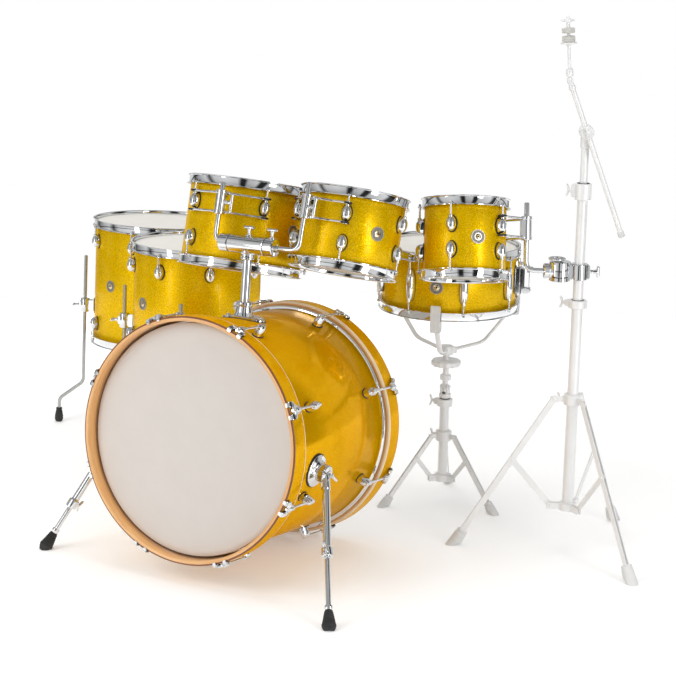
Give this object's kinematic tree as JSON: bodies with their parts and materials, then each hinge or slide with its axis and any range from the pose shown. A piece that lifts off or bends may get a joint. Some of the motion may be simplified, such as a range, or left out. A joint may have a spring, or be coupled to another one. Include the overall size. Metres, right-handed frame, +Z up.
{
  "type": "drum kit",
  "caption": "Drum kit in golden sparkle lacquer: bass drum with spurs and tom holder, rack toms, floor toms on legs, snare drum in a basket stand, and a boom stand.",
  "frame": {"origin": "on the floor, under the middle of the kit's bounding box", "axes": "+Z up. The bass drum's axis runs front to back along Y, with its front head towards -Y. +X is to the right of someone who faces the front head."},
  "size_m": [2.0706, 1.5602, 1.3473],
  "materials": {
    "shell": "golden-yellow sparkle lacquer, high gloss",
    "hoop": "golden-yellow lacquer outside, natural maple inside, gloss",
    "head": "coated film, matt off-white",
    "rim": "polished chrome plate",
    "chrome": "polished chrome plate",
    "spur_rod": "polished chrome plate with a black rubber foot",
    "stand": "pale grey metal, satin"
  },
  "bodies": {
    "kit": {"bass_shell": "shell", "bass_front_hoop": "hoop", "bass_batter_hoop": "hoop", "bass_front_head": "head", "bass_batter_head": "head", "floor14_shell": "shell", "floor14_batter_rim": "rim", "floor14_resonant_rim": "rim", "floor16_shell": "shell", "floor16_batter_rim": "rim", "floor16_resonant_rim": "rim", "snare_stand_base_tube": "stand", "boom_stand_base_tube": "stand"},
    "tom_post": {"tom_post": "chrome"},
    "tom12_arm": {"tom12_arm": "chrome"},
    "tom10_arm": {"tom10_arm": "chrome"},
    "tom8_arm": {"tom8_arm": "chrome"},
    "snare_tilter": {"snare_stand_basket": "stand", "snare_shell": "shell", "snare_batter_rim": "rim", "snare_resonant_rim": "rim"},
    "strainer_lever": {"snare_strainer_lever": "chrome"},
    "snare_upper_tube": {"snare_stand_upper_tube": "stand"},
    "boom_middle_tube": {"boom_stand_middle_tube": "stand"},
    "boom_upper_tube": {"boom_stand_upper_tube": "stand"},
    "boom_arm": {"boom_arm": "stand"},
    "cymbal_tilter": {"cymbal_tilter": "stand"},
    "tom12": {"tom12_shell": "shell", "tom12_batter_rim": "rim", "tom12_resonant_rim": "rim"},
    "tom10": {"tom10_shell": "shell", "tom10_batter_rim": "rim", "tom10_resonant_rim": "rim"},
    "tom8": {"tom8_shell": "shell", "tom8_batter_rim": "rim", "tom8_resonant_rim": "rim"},
    "spur_leg_right": {"spur_leg_right": "chrome"},
    "spur_rod_right": {"spur_rod_right": "spur_rod"},
    "spur_leg_left": {"spur_leg_left": "chrome"},
    "spur_rod_left": {"spur_rod_left": "spur_rod"},
    "floor14_leg_1": {"floor14_leg_1": "chrome"},
    "floor14_leg_2": {"floor14_leg_2": "chrome"},
    "floor14_leg_3": {"floor14_leg_3": "chrome"},
    "floor16_leg_1": {"floor16_leg_1": "chrome"},
    "floor16_leg_2": {"floor16_leg_2": "chrome"},
    "floor16_leg_3": {"floor16_leg_3": "chrome"},
    "snare_stand_collar": {"snare_stand_leg_collar": "stand"},
    "snare_stand_leg_1": {"snare_stand_leg_1": "stand"},
    "snare_stand_brace_1": {"snare_stand_brace_1": "stand"},
    "snare_stand_leg_2": {"snare_stand_leg_2": "stand"},
    "snare_stand_brace_2": {"snare_stand_brace_2": "stand"},
    "snare_stand_leg_3": {"snare_stand_leg_3": "stand"},
    "snare_stand_brace_3": {"snare_stand_brace_3": "stand"},
    "boom_stand_collar": {"boom_stand_leg_collar": "stand"},
    "boom_stand_leg_1": {"boom_stand_leg_1": "stand"},
    "boom_stand_brace_1": {"boom_stand_brace_1": "stand"},
    "boom_stand_leg_2": {"boom_stand_leg_2": "stand"},
    "boom_stand_brace_2": {"boom_stand_brace_2": "stand"},
    "boom_stand_leg_3": {"boom_stand_leg_3": "stand"},
    "boom_stand_brace_3": {"boom_stand_brace_3": "stand"}
  },
  "joints": [
    {"name": "tom_post_slide", "type": "slide", "parent": "kit", "child": "tom_post", "axis": [0, 0.0958, 0.9954], "range_m": [-0.02, 0.06]},
    {"name": "tom12_arm_tilt", "type": "hinge", "parent": "tom_post", "child": "tom12_arm", "pos_m": [0.10228, -0.39542, 0.78175], "axis": [1, 0, 0], "range_deg": [-4, 14]},
    {"name": "tom10_arm_tilt", "type": "hinge", "parent": "tom_post", "child": "tom10_arm", "pos_m": [0.10228, -0.39542, 0.78175], "axis": [1, 0, 0], "range_deg": [-5, 16]},
    {"name": "tom12_swivel", "type": "hinge", "parent": "tom12_arm", "child": "tom12", "pos_m": [0.00568, -0.38341, 0.83029], "axis": [0, 0.2402, 0.9707], "range_deg": [0, 25]},
    {"name": "tom10_swivel", "type": "hinge", "parent": "tom10_arm", "child": "tom10", "pos_m": [0.24388, -0.37432, 0.85164], "axis": [0, 0.289, 0.9573], "range_deg": [-3, 1]},
    {"name": "tom8_arm_tilt", "type": "hinge", "parent": "boom_middle_tube", "child": "tom8_arm", "pos_m": [0.77728, 0.06852, 0.72], "axis": [-0.8678, -0.497, 0], "range_deg": [-16, 8]},
    {"name": "tom8_swivel", "type": "hinge", "parent": "tom8_arm", "child": "tom8", "pos_m": [0.6531, 0.01974, 0.79038], "axis": [-0.132, 0.2304, 0.9641], "range_deg": [-6, 20]},
    {"name": "spur_swing_right", "type": "hinge", "parent": "kit", "child": "spur_leg_right", "pos_m": [0.39204, -0.52355, 0.28578], "axis": [0.9866, -0.0157, -0.1626], "range_deg": [-75, 8]},
    {"name": "spur_rod_slide_right", "type": "slide", "parent": "spur_leg_right", "child": "spur_rod_right", "axis": [0.3797, -0.5875, -0.7146], "range_m": [-0.05, 0.05]},
    {"name": "spur_swing_left", "type": "hinge", "parent": "kit", "child": "spur_leg_left", "pos_m": [-0.18747, -0.52355, 0.28578], "axis": [-0.9866, -0.0157, -0.1626], "range_deg": [-8, 75]},
    {"name": "spur_rod_slide_left", "type": "slide", "parent": "spur_leg_left", "child": "spur_rod_left", "axis": [-0.3624, -0.4107, -0.8366], "range_m": [-0.05, 0.05]},
    {"name": "floor14_leg_slide_1", "type": "slide", "parent": "kit", "child": "floor14_leg_1", "axis": [0, 0.0279, 0.9996], "range_m": [-0.05, 0.12]},
    {"name": "floor14_leg_slide_2", "type": "slide", "parent": "kit", "child": "floor14_leg_2", "axis": [0, 0.0279, 0.9996], "range_m": [-0.05, 0.12]},
    {"name": "floor14_leg_slide_3", "type": "slide", "parent": "kit", "child": "floor14_leg_3", "axis": [0, 0.0279, 0.9996], "range_m": [-0.05, 0.12]},
    {"name": "floor16_leg_slide_1", "type": "slide", "parent": "kit", "child": "floor16_leg_1", "axis": [0, 0.0489, 0.9988], "range_m": [-0.05, 0.12]},
    {"name": "floor16_leg_slide_2", "type": "slide", "parent": "kit", "child": "floor16_leg_2", "axis": [0, 0.0489, 0.9988], "range_m": [-0.05, 0.12]},
    {"name": "floor16_leg_slide_3", "type": "slide", "parent": "kit", "child": "floor16_leg_3", "axis": [0, 0.0489, 0.9988], "range_m": [-0.05, 0.12]},
    {"name": "strainer_swing", "type": "hinge", "parent": "snare_tilter", "child": "strainer_lever", "pos_m": [0.53588, 0.3049, 0.6032], "axis": [-0.2756, 0.9613, 0], "range_deg": [0, 80]},
    {"name": "snare_stand_collar_slide", "type": "slide", "parent": "kit", "child": "snare_stand_collar", "axis": [0, 0, 1], "range_m": [0, 0.02]},
    {"name": "snare_stand_leg_hinge_1", "type": "hinge", "parent": "snare_stand_collar", "child": "snare_stand_leg_1", "pos_m": [0.31007, 0.21947, 0.187], "axis": [0.7727, -0.6347, 0], "range_deg": [0, 15.7]},
    {"name": "snare_stand_brace_hinge_1", "type": "hinge", "parent": "snare_stand_leg_1", "child": "snare_stand_brace_1", "pos_m": [0.28293, 0.18643, 0.12907], "axis": [0.7727, -0.6347, 0], "range_deg": [-30.9, 0]},
    {"name": "snare_stand_leg_hinge_2", "type": "hinge", "parent": "snare_stand_collar", "child": "snare_stand_leg_2", "pos_m": [0.36681, 0.2408, 0.187], "axis": [0.1633, 0.9866, 0], "range_deg": [0, 15.7]},
    {"name": "snare_stand_brace_hinge_2", "type": "hinge", "parent": "snare_stand_leg_2", "child": "snare_stand_brace_2", "pos_m": [0.40899, 0.23382, 0.12907], "axis": [0.1633, 0.9866, 0], "range_deg": [-30.9, 0]},
    {"name": "snare_stand_leg_hinge_3", "type": "hinge", "parent": "snare_stand_collar", "child": "snare_stand_leg_3", "pos_m": [0.31997, 0.27928, 0.187], "axis": [-0.9361, -0.3518, 0], "range_deg": [0, 15.7]},
    {"name": "snare_stand_brace_hinge_3", "type": "hinge", "parent": "snare_stand_leg_3", "child": "snare_stand_brace_3", "pos_m": [0.30493, 0.3193, 0.12907], "axis": [-0.9361, -0.3518, 0], "range_deg": [-30.9, 0]},
    {"name": "boom_stand_collar_slide", "type": "slide", "parent": "kit", "child": "boom_stand_collar", "axis": [0, 0, 1], "range_m": [0, 0.04]},
    {"name": "boom_stand_leg_hinge_1", "type": "hinge", "parent": "boom_stand_collar", "child": "boom_stand_leg_1", "pos_m": [0.7363, 0.04763, 0.393], "axis": [0.454, -0.891, 0], "range_deg": [0, 11.4]},
    {"name": "boom_stand_brace_hinge_1", "type": "hinge", "parent": "boom_stand_leg_1", "child": "boom_stand_brace_1", "pos_m": [0.64733, 0.0023, 0.23018], "axis": [0.454, -0.891, 0], "range_deg": [-26.4, 0]},
    {"name": "boom_stand_leg_hinge_2", "type": "hinge", "parent": "boom_stand_collar", "child": "boom_stand_leg_2", "pos_m": [0.81586, 0.04346, 0.393], "axis": [0.5446, 0.8387, 0], "range_deg": [0, 11.4]},
    {"name": "boom_stand_brace_hinge_2", "type": "hinge", "parent": "boom_stand_leg_2", "child": "boom_stand_brace_2", "pos_m": [0.8996, -0.01092, 0.23018], "axis": [0.5446, 0.8387, 0], "range_deg": [-26.4, 0]},
    {"name": "boom_stand_leg_hinge_3", "type": "hinge", "parent": "boom_stand_collar", "child": "boom_stand_leg_3", "pos_m": [0.77969, 0.11445, 0.393], "axis": [-0.9986, 0.0523, 0], "range_deg": [0, 11.4]},
    {"name": "boom_stand_brace_hinge_3", "type": "hinge", "parent": "boom_stand_leg_3", "child": "boom_stand_brace_3", "pos_m": [0.78492, 0.21416, 0.23018], "axis": [-0.9986, 0.0523, 0], "range_deg": [-26.4, 0]},
    {"name": "snare_upper_tube_slide", "type": "slide", "parent": "kit", "child": "snare_upper_tube", "axis": [0, 0, 1], "range_m": [0, 0.07]},
    {"name": "snare_tilt", "type": "hinge", "parent": "snare_upper_tube", "child": "snare_tilter", "pos_m": [0.33228, 0.24652, 0.323], "axis": [1, 0, 0], "range_deg": [-15, 3]},
    {"name": "boom_middle_slide", "type": "slide", "parent": "kit", "child": "boom_middle_tube", "axis": [0, 0, 1], "range_m": [-0.04, 0.1]},
    {"name": "boom_upper_slide", "type": "slide", "parent": "boom_middle_tube", "child": "boom_upper_tube", "axis": [0, 0, 1], "range_m": [-0.08, 0.12]},
    {"name": "boom_tilt", "type": "hinge", "parent": "boom_upper_tube", "child": "boom_arm", "pos_m": [0.77728, 0.06852, 1.068], "axis": [0.4909, -0.8712, 0], "range_deg": [-10, 60]},
    {"name": "cymbal_tilt", "type": "hinge", "parent": "boom_arm", "child": "cymbal_tilter", "pos_m": [0.74821, 0.02229, 1.1931], "axis": [0.4909, -0.8712, 0], "range_deg": [-45, 45]}
  ],
  "couplings": [
    {"joint": "snare_stand_leg_hinge_1", "follows": "snare_stand_collar_slide", "rad_per_m": 13.611},
    {"joint": "snare_stand_brace_hinge_1", "follows": "snare_stand_collar_slide", "rad_per_m": -26.801},
    {"joint": "snare_stand_leg_hinge_2", "follows": "snare_stand_collar_slide", "rad_per_m": 13.611},
    {"joint": "snare_stand_brace_hinge_2", "follows": "snare_stand_collar_slide", "rad_per_m": -26.801},
    {"joint": "snare_stand_leg_hinge_3", "follows": "snare_stand_collar_slide", "rad_per_m": 13.611},
    {"joint": "snare_stand_brace_hinge_3", "follows": "snare_stand_collar_slide", "rad_per_m": -26.801},
    {"joint": "boom_stand_leg_hinge_1", "follows": "boom_stand_collar_slide", "rad_per_m": 4.8982},
    {"joint": "boom_stand_brace_hinge_1", "follows": "boom_stand_collar_slide", "rad_per_m": -11.433},
    {"joint": "boom_stand_leg_hinge_2", "follows": "boom_stand_collar_slide", "rad_per_m": 4.8982},
    {"joint": "boom_stand_brace_hinge_2", "follows": "boom_stand_collar_slide", "rad_per_m": -11.433},
    {"joint": "boom_stand_leg_hinge_3", "follows": "boom_stand_collar_slide", "rad_per_m": 4.8982},
    {"joint": "boom_stand_brace_hinge_3", "follows": "boom_stand_collar_slide", "rad_per_m": -11.433}
  ]
}
